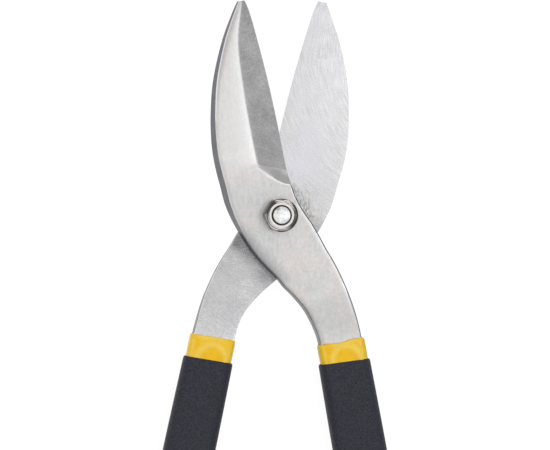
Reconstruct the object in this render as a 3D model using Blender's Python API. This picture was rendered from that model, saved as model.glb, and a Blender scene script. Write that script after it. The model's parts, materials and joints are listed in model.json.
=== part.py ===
"""Straight-pattern forged tin snips, 250 mm long: two identical forged halves on one pivot bolt.

The tool lies flat. The origin is the centre of the bolt head's flat outer face, +Z runs along the pivot
bolt towards its nut, and +Y runs from the pivot towards the blade tips. Each half is modelled as it lies
when the snips are closed, in millimetres from the pivot, with its ground inner face at height 0. One half
is turned over about +Y to make the other, and both are then swung open about the bolt.
"""

import math

import bmesh
import bpy

MM = 0.001
FULL_TURN = 2.0 * math.pi

# Pose
HALF_OPENING_DEG = 9.7          # swing of each half away from closed

# Heights along the pivot bolt
HEAD_HEIGHT = 3.5
SEAT_GAP = 0.1                  # between pieces that are clamped together
BOSS_THICKNESS = 6.0
SHEAR_GAP = 0.2                 # between the two ground inner faces
SHEAR_Z = HEAD_HEIGHT + SEAT_GAP + BOSS_THICKNESS + 0.5 * SHEAR_GAP
FRONT_BOSS_TOP = SHEAR_Z + 0.5 * SHEAR_GAP + BOSS_THICKNESS

# Pivot bolt, M8
BOLT_RADIUS = 4.0
BOLT_HEAD_RADIUS = 9.0
BOLT_HEAD_CHAMFER = 0.8
NECK_HALF_WIDTH = 4.0
NECK_CORNER_RADIUS = 5.2
NECK_TOP = HEAD_HEIGHT + 5.2
BOLT_PROUD = 0.9                # thread showing above the nut
RUNNING_CLEARANCE = 0.06
KEY_CLEARANCE = 0.15
ROUND_SIDES = 64

# Washer and lock nut
WASHER_RADIUS = 7.1
WASHER_THICKNESS = 1.2
WASHER_BORE_RADIUS = 4.95
WASHER_OFFSET = 0.8             # how far it sits off the bolt's axis, inside its wide bore
WASHER_Z = FRONT_BOSS_TOP + SEAT_GAP
NUT_Z = WASHER_Z + WASHER_THICKNESS + SEAT_GAP
NUT_ACROSS_FLATS = 13.0
NUT_HEX_HEIGHT = 5.6
NUT_CHAMFER = 0.5
NUT_HEIGHT = 7.6
NUT_SIDES = 72
COLLAR_RADIUS = 6.0
RING_RADIUS = 5.3
RING_BOTTOM = 5.0
RING_TOP = 7.3

# Forged half: stations across it, from the blade tip to the end of the tang. Each holds the point on the
# spine side, the point on the cutting-edge side, how far across the ridge lies, the thickness, the height
# of the edge side, and how low the inner side is cranked.
TANG_HALF_THICKNESS = 4.0
TANG_DROP = TANG_HALF_THICKNESS + 0.5 * SHEAR_GAP
STATIONS = (
    ((-3.4, 91.2), (-0.2, 91.2), 0.52, 1.6, 0.8, 0.0),
    ((-5.9, 87.4), (0.9, 87.1), 0.45, 2.2, 0.9, 0.0),
    ((-12.2, 75.9), (2.4, 75.8), 0.435, 3.2, 1.0, 0.0),
    ((-18.5, 59.9), (4.05, 59.8), 0.515, 4.2, 1.1, 0.0),
    ((-21.6, 46.5), (5.05, 46.0), 0.55, 4.9, 1.1, 0.0),
    ((-23.0, 36.0), (5.7, 33.0), 0.57, 5.4, 1.2, 0.0),
    ((-23.3, 27.6), (6.3, 18.4), 0.583, 5.8, 1.2, 0.0),
    ((-22.45, 17.0), (6.9, 11.7), 0.583, 6.0, 6.0, 0.0),
    ((-20.4, 4.9), (9.3, 3.7), 0.55, 6.0, 6.0, 0.0),
    ((-16.1, -7.3), (13.4, -6.1), 0.5, 6.0, 6.0, 0.0),
    ((-9.9, -19.0), (16.8, -14.6), 0.5, 6.0, 6.0, 0.0),
    ((-3.4, -28.2), (20.0, -22.2), 0.5, 6.2, 6.2, 0.0),
    ((1.7, -35.1), (22.7, -30.5), 0.5, 6.6, 6.6, 0.0),
    ((6.1, -42.9), (25.1, -41.1), 0.5, 7.2, 7.2, 1.6),
    ((8.5, -52.1), (26.5, -52.4), 0.5, 7.8, 7.8, 3.7),
    ((9.0, -62.0), (26.95, -62.4), 0.5, 8.0, 8.0, TANG_DROP),
    ((10.0, -105.0), (28.0, -105.4), 0.5, 8.0, 8.0, TANG_DROP),
    ((11.4, -135.0), (28.0, -135.4), 0.5, 8.0, 8.0, TANG_DROP),
    ((14.4, -148.0), (25.6, -148.3), 0.5, 7.0, 7.0, TANG_DROP - 0.5),
)
RECESS_END = 6                  # station where the ground bevel meets its run-out
RIM = 7                         # station where the run-out reaches the boss, at a corner of the outline
CRANK_START = 12
TANG_START = 14
TANG_END = len(STATIONS) - 1
ROW_STEPS = {0: 3, 1: 4, 2: 4, 3: 3, RECESS_END: 3, 15: 4}
DEFAULT_STEPS = 2
RIM_CURVE = ((-5.6, 21.4), (-1.0, 13.8), (6.9, 11.7))
BEVEL_COLUMNS = (0.0, 0.33, 0.67, 1.0)
SPINE_DRAFT = 0.27              # lean of the spine's wall, as a part of its height
HANDLE_DRAFT = 0.12
EDGE_BREAK = 0.35
TANG_CHAMFER = 1.5

# Handle sleeves: distance along the handle, half width and half thickness of each ring
HANDLE_TOP = (17.9, -60.0)
HANDLE_LEAN = 0.024             # sideways drift of the handle's centre line per millimetre
GRIP_RINGS = (
    (-65.0, 10.2, 5.5), (-65.9, 10.65, 5.9), (-80.0, 10.8, 6.1), (-103.0, 11.0, 6.2), (-130.0, 11.0, 6.2),
    (-145.0, 10.6, 6.1), (-152.0, 9.6, 5.7), (-156.5, 7.9, 4.9), (-158.4, 6.2, 3.9), (-159.0, 4.6, 2.8),
)
SLEEVE_RINGS = (
    (-55.7, 9.4, 4.6), (-56.4, 9.75, 4.9), (-61.0, 9.8, 5.0), (-66.0, 9.75, 4.95), (-105.0, 9.75, 4.95),
    (-133.0, 9.6, 4.95), (-142.0, 9.1, 4.95), (-148.0, 7.9, 4.85), (-151.0, 6.5, 4.4),
)
TANG_POCKET_RINGS = (
    (-55.7, 9.2, 4.25), (-62.0, 9.2, 4.25), (-105.0, 9.2, 4.25), (-134.0, 8.8, 4.25), (-142.0, 8.0, 4.25),
    (-149.0, 6.1, 4.25),
)
GRIP_POCKET_GAP = 0.2
GRIP_CORNER = 4.6
SLEEVE_CORNER = 3.2
POCKET_CORNER = 1.4
CORNER_STEPS = 4


def clear_scene():
    """Remove whatever the scene holds."""
    for obj in list(bpy.data.objects):
        bpy.data.objects.remove(obj, do_unlink=True)


def material(name, colour, roughness, metallic):
    """A Principled material with a plain colour."""
    mat = bpy.data.materials.new(name)
    mat.use_nodes = True
    shader = mat.node_tree.nodes["Principled BSDF"]
    shader.inputs["Base Color"].default_value = (*colour, 1.0)
    shader.inputs["Roughness"].default_value = roughness
    shader.inputs["Metallic"].default_value = metallic
    return mat


def loft(name, rings, closed_tube=False):
    """Mesh from rings of equally many points: capped at both ends, or joined end to end."""
    bm = bmesh.new()
    rows = []
    for ring in rings:
        rows.append([bm.verts.new((x * MM, y * MM, z * MM)) for x, y, z in ring])
    pairs = list(zip(rows, rows[1:]))
    if closed_tube:
        pairs.append((rows[-1], rows[0]))
    for low, high in pairs:
        count = len(low)
        for i in range(count):
            after = (i + 1) % count
            bm.faces.new((low[i], low[after], high[after], high[i]))
    if not closed_tube:
        bm.faces.new(rows[0])
        bm.faces.new(rows[-1])
    bmesh.ops.recalc_face_normals(bm, faces=bm.faces)
    mesh = bpy.data.meshes.new(name)
    bm.to_mesh(mesh)
    bm.free()
    mesh.shade_smooth()
    mesh.set_sharp_from_angle(angle=math.radians(30.0))
    return mesh


def add_object(name, mesh, mat, parent=None):
    """Put a mesh in the scene as one named sub-part with its own material."""
    obj = bpy.data.objects.new(name, mesh)
    bpy.context.scene.collection.objects.link(obj)
    if not mesh.materials:
        mesh.materials.append(mat)
    obj.parent = parent
    return obj


def half_frame(name, swing_deg, turned_over):
    """Empty on the pivot axis that holds one half's pieces."""
    frame = bpy.data.objects.new(name, None)
    bpy.context.scene.collection.objects.link(frame)
    frame.location = (0.0, 0.0, SHEAR_Z * MM)
    frame.rotation_mode = "XYZ"
    flip = math.pi if turned_over else 0.0
    frame.rotation_euler = (0.0, flip, math.radians(swing_deg))
    return frame


# Curves through the stations

def chord(a, b):
    """Distance between two points."""
    return math.dist(a, b)


def tangent(points, index, corners, before):
    """Direction of the outline at a point, one-sided at a corner."""
    first = max(index - 1, 0)
    last = min(index + 1, len(points) - 1)
    if index in corners and before:
        last = index
    if index in corners and not before:
        first = index
    length = sum(chord(points[i], points[i + 1]) for i in range(first, last))
    return tuple((b - a) / length for a, b in zip(points[first], points[last]))


def point_on(points, s, corners=()):
    """Point at station s of the smooth curve through the points."""
    index = min(int(s), len(points) - 2)
    t = s - index
    start, end = points[index], points[index + 1]
    length = chord(start, end)
    leave = tangent(points, index, corners, before=False)
    arrive = tangent(points, index + 1, corners, before=True)
    h00 = 2 * t ** 3 - 3 * t ** 2 + 1
    h10 = (t ** 3 - 2 * t ** 2 + t) * length
    h01 = -2 * t ** 3 + 3 * t ** 2
    h11 = (t ** 3 - t ** 2) * length
    return tuple(h00 * p + h10 * m + h01 * q + h11 * n for p, m, q, n in zip(start, leave, end, arrive))


def between(a, b, t):
    """Straight blend of two points or two numbers."""
    if isinstance(a, tuple):
        return tuple(p + (q - p) * t for p, q in zip(a, b))
    return a + (b - a) * t


def value_at(column, s):
    """Value of one column of the stations at station s."""
    index = min(int(s), len(STATIONS) - 2)
    return between(STATIONS[index][column], STATIONS[index + 1][column], s - index)


def rim_point(v):
    """Point on the curved rim where the bevel's run-out meets the boss."""
    start, control, end = RIM_CURVE
    return between(between(start, control, v), between(control, end, v), v)


# Forged half

def edges_at(s):
    """Spine-side and edge-side points of the outline at station s."""
    spine = point_on([row[0] for row in STATIONS], s)
    edge = point_on([row[1] for row in STATIONS], s, corners=(RIM,))
    return spine, edge


def bevel_point(s, v, inset):
    """Point v of the way from the ridge to the edge side, on the half's outer face."""
    spine, edge = edges_at(s)
    width = chord(spine, edge)
    ridge = value_at(2, s)
    across = ridge + (1.0 - inset / width - ridge) * v
    flat = between(spine, edge, across)
    pull = max(0.0, 1.0 - abs(s - RIM))
    rim_row = edges_at(RIM)
    rim_shift = tuple(p - q for p, q in zip(rim_point(v), between(*rim_row, ridge + (1.0 - ridge) * v)))
    x, y = (p + d * pull for p, d in zip(flat, rim_shift))
    top = value_at(3, s)
    if s <= RIM:
        land = STATIONS[RECESS_END][4] if s > RECESS_END else value_at(4, s)
        climb = max(0.0, s - RECESS_END)
        floor = between(top, land, v)
        return x, y, between(floor, top, climb)
    return x, y, top


def half_section(s):
    """Ring of points around the forged half at station s."""
    spine, edge = edges_at(s)
    width = chord(spine, edge)
    top = value_at(3, s)
    drop = value_at(5, s)
    tang = min(1.0, max(0.0, (s - CRANK_START) / (TANG_START - CRANK_START)))
    under = TANG_CHAMFER * tang
    draft = between(SPINE_DRAFT, HANDLE_DRAFT, min(1.0, max(0.0, (s - RIM) / 3.0))) * top * (1.0 - tang)
    corner = between(EDGE_BREAK, TANG_CHAMFER, tang)
    side = max(under, EDGE_BREAK)
    edge_top = bevel_point(s, 1.0, 0.0)[2]

    def at(distance, z):
        return (*between(spine, edge, distance / width), z - drop)

    ring = [at(under, 0.0), at(0.0, side), at(draft, top - corner), at(draft + corner, top)]
    for v in BEVEL_COLUMNS:
        x, y, z = bevel_point(s, v, corner)
        ring.append((x, y, z - drop))
    ring += [at(width, edge_top - corner), at(width, side), at(width - under, 0.0)]
    return ring


def station_rows():
    """Stations to cut sections at, closer where the outline turns faster."""
    rows = []
    for index in range(TANG_END):
        steps = ROW_STEPS.get(index, DEFAULT_STEPS)
        rows += [index + step / steps for step in range(steps)]
    return rows + [float(TANG_END)]


def forged_half_mesh():
    """Blade, boss, handle and tang as one forging."""
    lift = 0.5 * SHEAR_GAP
    rings = [[(x, y, z + lift) for x, y, z in half_section(s)] for s in station_rows()]
    return loft("forged_half", rings)


def cut_hole(forging, name, ring, frame):
    """Bore the boss with a cutter of the given outline."""
    reach = BOSS_THICKNESS + 4.0
    rings = [[(x, y, z) for x, y in ring] for z in (-reach, reach)]
    cutter = bpy.data.objects.new(name, loft(name, rings))
    bpy.context.scene.collection.objects.link(cutter)
    cutter.parent = frame
    cutter.hide_render = True
    cutter.display_type = "WIRE"
    cut = forging.modifiers.new("bore", "BOOLEAN")
    cut.operation = "DIFFERENCE"
    cut.object = cutter


# Turned and lofted hardware

def circle(radius, sides=ROUND_SIDES):
    """Points of a circle about the pivot axis."""
    angles = [FULL_TURN * i / sides for i in range(sides)]
    return [(radius * math.cos(a), radius * math.sin(a)) for a in angles]


def square(half_width, corner_radius, sides=ROUND_SIDES):
    """Points of a square neck with its corners turned off."""
    points = []
    for i in range(sides):
        angle = FULL_TURN * i / sides
        reach = half_width / max(abs(math.cos(angle)), abs(math.sin(angle)))
        radius = min(reach, corner_radius)
        points.append((radius * math.cos(angle), radius * math.sin(angle)))
    return points


def hexagon(across_flats, sides=NUT_SIDES):
    """Points of a hexagon with its corners along X."""
    points = []
    for i in range(sides):
        angle = FULL_TURN * i / sides
        off_flat = (angle % math.radians(60.0)) - math.radians(30.0)
        radius = 0.5 * across_flats / math.cos(off_flat)
        points.append((radius * math.cos(angle), radius * math.sin(angle)))
    return points


def at_height(outline, z):
    """Lift an outline to a height."""
    return [(x, y, z) for x, y in outline]


def pivot_bolt_mesh():
    """Flat round head, square neck keyed in the rear half, plain shank and domed end."""
    end = NUT_Z + NUT_HEIGHT + BOLT_PROUD
    neck = square(NECK_HALF_WIDTH, NECK_CORNER_RADIUS)
    rings = [
        at_height(circle(BOLT_HEAD_RADIUS - BOLT_HEAD_CHAMFER), 0.0),
        at_height(circle(BOLT_HEAD_RADIUS), BOLT_HEAD_CHAMFER),
        at_height(circle(BOLT_HEAD_RADIUS), HEAD_HEIGHT),
        at_height(neck, HEAD_HEIGHT),
        at_height(neck, NECK_TOP),
        at_height(circle(BOLT_RADIUS), NECK_TOP + 0.6),
        at_height(circle(BOLT_RADIUS), end - 1.0),
    ]
    dome_rise = 0.5
    for turn in (20.0, 45.0, 70.0):
        angle = math.radians(turn)
        radius = (BOLT_RADIUS - 0.4) * math.cos(angle)
        rings.append(at_height(circle(radius), end - dome_rise + dome_rise * math.sin(angle)))
    return loft("pivot_bolt", rings)


def washer_mesh():
    """Flat washer with a wide bore, under the nut."""
    inner = WASHER_BORE_RADIUS
    top = WASHER_Z + WASHER_THICKNESS
    profile = (
        (inner, WASHER_Z), (WASHER_RADIUS, WASHER_Z), (WASHER_RADIUS, top - 0.3),
        (WASHER_RADIUS - 0.3, top), (inner, top),
    )
    return loft("nut_washer", [at_height(circle(r), z) for r, z in profile], closed_tube=True)


def lock_nut_mesh():
    """Hexagon with chamfered ends and a rolled collar that holds the locking ring."""
    hex_outline = hexagon(NUT_ACROSS_FLATS)
    flat_radius = 0.5 * NUT_ACROSS_FLATS - 0.15
    bore = circle(BOLT_RADIUS + RUNNING_CLEARANCE, NUT_SIDES)
    pocket = RING_RADIUS + 0.05
    outlines = [
        (bore, 0.0),
        (circle(flat_radius, NUT_SIDES), 0.0),
        (hex_outline, NUT_CHAMFER),
        (hex_outline, NUT_HEX_HEIGHT - NUT_CHAMFER),
        (circle(flat_radius, NUT_SIDES), NUT_HEX_HEIGHT),
        (circle(COLLAR_RADIUS, NUT_SIDES), NUT_HEX_HEIGHT + 0.2),
        (circle(COLLAR_RADIUS - 0.1, NUT_SIDES), NUT_HEIGHT - 0.4),
        (circle(COLLAR_RADIUS - 0.4, NUT_SIDES), NUT_HEIGHT),
        (circle(pocket, NUT_SIDES), NUT_HEIGHT - 0.05),
        (circle(pocket, NUT_SIDES), RING_BOTTOM - 0.05),
        (bore, RING_BOTTOM - 0.05),
    ]
    return loft("lock_nut", [at_height(outline, NUT_Z + z) for outline, z in outlines], closed_tube=True)


def locking_ring_mesh():
    """Plastic ring seated in the nut's collar."""
    inner = BOLT_RADIUS + RUNNING_CLEARANCE
    profile = (
        (inner, RING_BOTTOM), (RING_RADIUS, RING_BOTTOM), (RING_RADIUS, RING_TOP), (inner + 0.25, RING_TOP),
        (inner, RING_TOP - 0.25),
    )
    return loft("locking_ring", [at_height(circle(r), NUT_Z + z) for r, z in profile], closed_tube=True)


# Handle sleeves

def handle_ring(distance, half_width, half_thickness, corner):
    """Rounded rectangle around the handle's centre line."""
    middle = HANDLE_TOP[0] + (HANDLE_TOP[1] - distance) * HANDLE_LEAN
    radius = min(corner, half_thickness - 0.3, half_width - 0.3)
    ring = []
    for quarter in range(4):
        side_x = 1.0 if quarter in (0, 3) else -1.0
        side_z = 1.0 if quarter in (0, 1) else -1.0
        for step in range(CORNER_STEPS + 1):
            angle = 0.5 * math.pi * (quarter + step / CORNER_STEPS)
            x = side_x * (half_width - radius) + radius * math.cos(angle)
            z = side_z * (half_thickness - radius) + radius * math.sin(angle)
            ring.append((middle + x, distance - x * HANDLE_LEAN, z))
    return ring


def cup(name, outside, outside_corner, pocket, pocket_corner):
    """Sleeve with a closed end: outer rings down to the tip, and a pocket from the mouth."""
    rings = [handle_ring(*row, pocket_corner) for row in reversed(pocket)]
    rings += [handle_ring(*row, outside_corner) for row in outside]
    return loft(name, rings)


def grip_mesh():
    """Black outer sleeve, with a pocket that follows the inner sleeve."""
    gap = GRIP_POCKET_GAP
    mouth = GRIP_RINGS[0][0]
    pocket = [(mouth, SLEEVE_RINGS[3][1] + gap, SLEEVE_RINGS[3][2] + gap)]
    pocket += [(y - gap, width + gap, thick + gap) for y, width, thick in SLEEVE_RINGS[4:]]
    return cup("handle_grip", GRIP_RINGS, GRIP_CORNER, pocket, SLEEVE_CORNER + gap)


def sleeve_mesh():
    """Yellow inner sleeve over the tang."""
    return cup("inner_sleeve", SLEEVE_RINGS, SLEEVE_CORNER, TANG_POCKET_RINGS, POCKET_CORNER)


def build_halves():
    """Both halves with their sleeves, from shared meshes."""
    forging = forged_half_mesh()
    sleeve = sleeve_mesh()
    grip = grip_mesh()
    steel = material("satin_steel", (0.62, 0.62, 0.61), 0.35, 1.0)
    yellow = material("yellow_vinyl", (0.92, 0.55, 0.03), 0.3, 0.0)
    black = material("black_vinyl", (0.045, 0.045, 0.055), 0.7, 0.0)
    bores = {
        "front": circle(BOLT_RADIUS + RUNNING_CLEARANCE),
        "rear": square(NECK_HALF_WIDTH + KEY_CLEARANCE, NECK_CORNER_RADIUS + KEY_CLEARANCE),
    }
    for side, swing, turned_over in (("front", HALF_OPENING_DEG, False), ("rear", -HALF_OPENING_DEG, True)):
        frame = half_frame(side + "_half_frame", swing, turned_over)
        half = add_object(side + "_blade_half", forging, steel, frame)
        cut_hole(half, side + "_bore_cutter", bores[side], frame)
        add_object(side + "_inner_sleeve", sleeve, yellow, frame)
        add_object(side + "_handle_grip", grip, black, frame)


def build_pivot():
    """Bolt, its neck turned with the rear half, then washer, nut and locking ring."""
    nickel = material("bright_nickel", (0.70, 0.67, 0.63), 0.18, 1.0)
    nylon = material("nylon", (0.82, 0.78, 0.72), 0.45, 0.0)
    bolt = add_object("pivot_bolt", pivot_bolt_mesh(), nickel)
    bolt.rotation_euler = (0.0, 0.0, math.radians(-HALF_OPENING_DEG))
    washer = add_object("nut_washer", washer_mesh(), nickel)
    washer.location = (WASHER_OFFSET * MM, 0.0, 0.0)
    add_object("lock_nut", lock_nut_mesh(), nickel)
    add_object("nut_locking_ring", locking_ring_mesh(), nylon)


def main():
    clear_scene()
    build_halves()
    build_pivot()


main()
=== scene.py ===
"""Looks of the forged tin snips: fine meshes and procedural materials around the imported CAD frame.

Lengths in the tables are millimetres. Each half is described as it lies with the snips closed, with the
pivot at (0, 0) and the ground inner face at height 0. `to_world` turns it over where needed, swings it
open and lifts it to the height of the joint.
"""

import json
import math

import bmesh
import bpy
from mathutils import Matrix, Vector


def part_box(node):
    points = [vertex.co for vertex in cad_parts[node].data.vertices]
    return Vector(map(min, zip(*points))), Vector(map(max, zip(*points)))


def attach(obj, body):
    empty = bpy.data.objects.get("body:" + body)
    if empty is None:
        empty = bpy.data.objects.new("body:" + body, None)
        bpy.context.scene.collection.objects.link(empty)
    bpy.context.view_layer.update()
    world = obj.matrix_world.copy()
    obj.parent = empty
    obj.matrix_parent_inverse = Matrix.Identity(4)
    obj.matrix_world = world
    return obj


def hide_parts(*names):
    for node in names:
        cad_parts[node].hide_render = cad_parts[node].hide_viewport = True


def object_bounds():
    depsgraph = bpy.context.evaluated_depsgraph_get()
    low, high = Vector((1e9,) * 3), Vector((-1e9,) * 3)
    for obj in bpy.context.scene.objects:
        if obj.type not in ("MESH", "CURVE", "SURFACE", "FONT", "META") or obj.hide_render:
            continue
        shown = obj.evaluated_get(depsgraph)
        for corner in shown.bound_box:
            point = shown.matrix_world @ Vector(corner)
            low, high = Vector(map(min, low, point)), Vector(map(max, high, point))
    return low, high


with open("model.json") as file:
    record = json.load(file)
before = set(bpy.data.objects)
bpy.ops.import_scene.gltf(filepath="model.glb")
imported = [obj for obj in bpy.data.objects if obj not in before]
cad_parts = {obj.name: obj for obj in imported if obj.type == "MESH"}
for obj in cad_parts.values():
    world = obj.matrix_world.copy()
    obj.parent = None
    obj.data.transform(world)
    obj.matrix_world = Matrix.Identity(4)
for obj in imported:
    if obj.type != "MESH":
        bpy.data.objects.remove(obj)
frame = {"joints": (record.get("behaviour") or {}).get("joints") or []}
cad_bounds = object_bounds()

MM = 0.001
FULL_TURN = 2.0 * math.pi
PIVOT = Vector(frame["joints"][0]["pos_m"])
HALF_OPENING = math.radians(9.7)
SHEAR_GAP = 0.2
TANG_DROP = 4.1

# Stations across the forging, from the tip to the end of the tang: spine side, edge side, how far across
# the ridge lies, thickness, height of the edge side
STATIONS = (
    ((-3.4, 91.2), (-0.2, 91.2), 0.52, 1.6, 0.8),
    ((-5.9, 87.4), (0.9, 87.1), 0.45, 2.2, 0.9),
    ((-12.2, 75.9), (2.4, 75.8), 0.435, 3.2, 1.0),
    ((-18.5, 59.9), (4.05, 59.8), 0.515, 4.2, 1.1),
    ((-21.6, 46.5), (5.05, 46.0), 0.55, 4.9, 1.1),
    ((-23.0, 36.0), (5.7, 33.0), 0.57, 5.4, 1.2),
    ((-23.3, 27.6), (6.3, 18.4), 0.583, 5.8, 1.2),
    ((-22.45, 17.0), (6.9, 11.7), 0.583, 6.0, 6.0),
    ((-20.4, 4.9), (9.3, 3.7), 0.55, 6.0, 6.0),
    ((-16.1, -7.3), (13.4, -6.1), 0.5, 6.0, 6.0),
    ((-9.9, -19.0), (16.8, -14.6), 0.5, 6.0, 6.0),
    ((-3.4, -28.2), (20.0, -22.2), 0.5, 6.2, 6.2),
    ((1.7, -35.1), (22.7, -30.5), 0.5, 6.6, 6.6),
    ((6.1, -42.9), (25.1, -41.1), 0.5, 7.2, 7.2),
    ((8.5, -52.1), (26.5, -52.4), 0.5, 7.8, 7.8),
    ((9.0, -62.0), (26.95, -62.4), 0.5, 8.0, 8.0),
    ((10.0, -105.0), (28.0, -105.4), 0.5, 8.0, 8.0),
    ((11.4, -135.0), (28.0, -135.4), 0.5, 8.0, 8.0),
    ((14.4, -148.0), (25.6, -148.3), 0.5, 7.0, 7.0),
)
RECESS_END = 6
RIM = 7
HIDDEN_FROM = 15
TIP_CORNER_END = 4.3
BARE_CORNER_END = 12.5
TANG_END = len(STATIONS) - 1
RIM_CURVE = ((-5.6, 21.4), (-1.0, 13.8), (6.9, 11.7))
ROW_PITCH = 0.9
RIM_ROW_PITCH = 0.3
HIDDEN_ROW_PITCH = 5.0
SPINE_DRAFT = 0.32
HANDLE_DRAFT = 0.07

# Handle: centre line, and rings as distance along it, half width and half thickness
HANDLE_TOP = (17.9, -60.0)
HANDLE_LEAN = 0.024
GRIP_RINGS = (
    (-65.0, 9.95, 5.3), (-65.15, 10.3, 5.6), (-65.5, 10.55, 5.85), (-66.3, 10.65, 5.95), (-80.0, 10.8, 6.1),
    (-103.0, 11.0, 6.2), (-130.0, 11.0, 6.2), (-145.0, 10.6, 6.1), (-152.0, 9.6, 5.7), (-156.2, 8.0, 4.9),
    (-158.2, 6.3, 3.9), (-158.9, 4.6, 2.8), (-159.0, 2.4, 1.4),
)
SLEEVE_RINGS = (
    (-55.7, 9.25, 4.35), (-55.8, 9.5, 4.65), (-56.2, 9.68, 4.85), (-57.0, 9.78, 4.95), (-61.0, 9.8, 5.0),
    (-66.0, 9.75, 4.95), (-105.0, 9.75, 4.95), (-133.0, 9.6, 4.95), (-142.0, 9.1, 4.95), (-148.0, 7.9, 4.85),
    (-151.0, 6.5, 4.4),
)
TANG_POCKET_RINGS = (
    (-55.7, 9.2, 4.25), (-62.0, 9.2, 4.25), (-105.0, 9.2, 4.25), (-134.0, 8.8, 4.25), (-142.0, 8.0, 4.25),
    (-149.0, 6.1, 4.25),
)
POCKET_GAP = 0.2
FRONT_SPREAD = 0.40
REAR_SPREAD = -0.45
GRIP_CORNER = 4.6
SLEEVE_CORNER = 3.2
POCKET_CORNER = 1.4


# Small geometry helpers

def between(a, b, t):
    """Straight blend of two numbers or two points."""
    if isinstance(a, tuple):
        return tuple(p + (q - p) * t for p, q in zip(a, b))
    return a + (b - a) * t


def smooth(t):
    """Eased 0 to 1."""
    t = min(1.0, max(0.0, t))
    return t * t * (3.0 - 2.0 * t)


def ramp(value, low, high):
    """How far value has gone from low to high, eased."""
    return smooth((value - low) / (high - low))


def fall(value, low, high):
    """How far value still is from high, eased: 1 up to low, 0 from high on."""
    return 1.0 - ramp(value, low, high)


def bell(distance):
    """1 at distance 0, fading on both sides."""
    return math.exp(-distance ** 2)


def tangent(points, index, corners, before):
    """Direction of a curve at one of its points, one-sided at a corner."""
    first = max(index - 1, 0)
    last = min(index + 1, len(points) - 1)
    if index in corners and before:
        last = index
    if index in corners and not before:
        first = index
    length = sum(math.dist(points[i], points[i + 1]) for i in range(first, last))
    return tuple((b - a) / length for a, b in zip(points[first], points[last]))


def point_on(points, s, corners=()):
    """Point at station s of the smooth curve through the points."""
    index = min(int(s), len(points) - 2)
    t = s - index
    start, end = points[index], points[index + 1]
    length = math.dist(start, end)
    leave = tangent(points, index, corners, before=False)
    arrive = tangent(points, index + 1, corners, before=True)
    h00 = 2 * t ** 3 - 3 * t ** 2 + 1
    h10 = (t ** 3 - 2 * t ** 2 + t) * length
    h01 = -2 * t ** 3 + 3 * t ** 2
    h11 = (t ** 3 - t ** 2) * length
    return tuple(h00 * p + h10 * m + h01 * q + h11 * n for p, m, q, n in zip(start, leave, end, arrive))


def value_at(column, s):
    """Value of one column of the stations at station s, smooth except at the recess."""
    pairs = [(row[0][1], row[column]) for row in STATIONS]
    return point_on(pairs, s, corners=(RECESS_END, RIM))[1]


def drop_at(s):
    """How far the cranked handle's inner side stands off, eased in and out."""
    return TANG_DROP * smooth((s - 12.0) / 2.5) - 0.5 * ramp(s, TANG_END - 1.0, TANG_END)


def swing_of(turned_over):
    """Angle by which a half stands open at rest."""
    return -HALF_OPENING if turned_over else HALF_OPENING


def turned(x, y, angle):
    """Point of the plan turned about the pivot."""
    cos, sin = math.cos(angle), math.sin(angle)
    return x * cos - y * sin, x * sin + y * cos


def to_world(point, turned_over):
    """Closed-pose millimetres of one half to world metres at rest."""
    x, y, z = point
    if turned_over:
        x, z = -x, -z
    return PIVOT + Vector((*turned(x, y, swing_of(turned_over)), z)) * MM


def curve(start, control, end, t):
    """Point of the curve that leaves start towards control and turns to end."""
    return between(between(start, control, t), between(control, end, t), t)


def round_corner(a, corner, b, cut, steps):
    """Points of a rounded corner of a polygon, cut this far along each side."""
    to_a = math.dist(a, corner)
    to_b = math.dist(b, corner)
    start = between(corner, a, min(cut, 0.45 * to_a) / to_a)
    end = between(corner, b, min(cut, 0.45 * to_b) / to_b)
    return [curve(start, corner, end, step / steps) for step in range(steps + 1)]


def mesh_from_rings(name, rings, closed_tube=False, materials=(), slots=None):
    """Mesh of equally long rings of world points, with a material slot for each column of faces."""
    bm = bmesh.new()
    rows = [[bm.verts.new(p) for p in ring] for ring in rings]
    count = len(rings[0])
    pairs = [(i, i + 1) for i in range(len(rows) - 1)]
    if closed_tube:
        pairs.append((len(rows) - 1, 0))
    for low, high in pairs:
        for i in range(count):
            after = (i + 1) % count
            corners = ((low, i), (low, after), (high, after), (high, i))
            face = bm.faces.new([rows[r][c] for r, c in corners])
            face.smooth = True
            if slots:
                face.material_index = slots[low][i]
    if not closed_tube:
        for ends in (rows[0], rows[-1]):
            bm.faces.new(ends).smooth = True
    bmesh.ops.recalc_face_normals(bm, faces=bm.faces)
    mesh = bpy.data.meshes.new(name)
    bm.to_mesh(mesh)
    bm.free()
    for mat in materials:
        mesh.materials.append(mat)
    return mesh


def linked(name, data):
    """New object in the scene."""
    thing = bpy.data.objects.new(name, data)
    bpy.context.scene.collection.objects.link(thing)
    return thing


def add_piece(name, mesh, body, replaces, sharp_deg=35.0):
    """Link a mesh as a visible piece that rides on a body and stands for a CAD node."""
    mesh.set_sharp_from_angle(angle=math.radians(sharp_deg))
    piece = linked(name, mesh)
    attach(piece, body)
    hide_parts(replaces)


# Materials

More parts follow.
